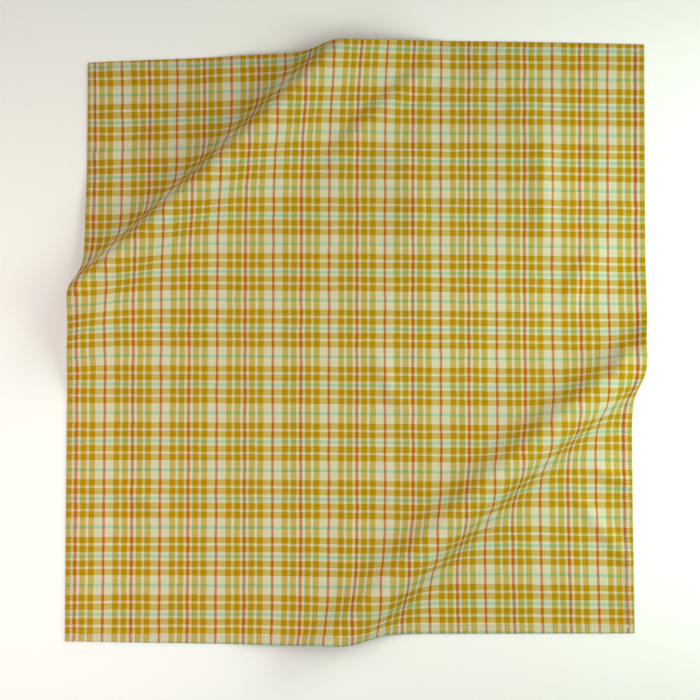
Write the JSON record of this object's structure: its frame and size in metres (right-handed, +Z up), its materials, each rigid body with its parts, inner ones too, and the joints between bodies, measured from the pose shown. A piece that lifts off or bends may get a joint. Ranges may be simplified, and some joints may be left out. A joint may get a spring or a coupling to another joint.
{
  "type": "bandana",
  "caption": "Hemmed cotton bandana in a woven plaid, laid out nearly flat with a soft fold across each of two opposite corners.",
  "frame": {"origin": "on the table under the middle of the cloth's bounding box", "axes": "+Z up from the table, +Y along the cloth's longer side towards the top of the picture, +X across it to the right"},
  "size_m": [0.5476, 0.5686, 0.0371],
  "materials": {
    "cloth": "matt plain-weave cotton in mustard and cream plaid, with thin red and mint lines"
  },
  "bodies": {
    "root": {"bandana": "cloth"}
  },
  "joints": []
}
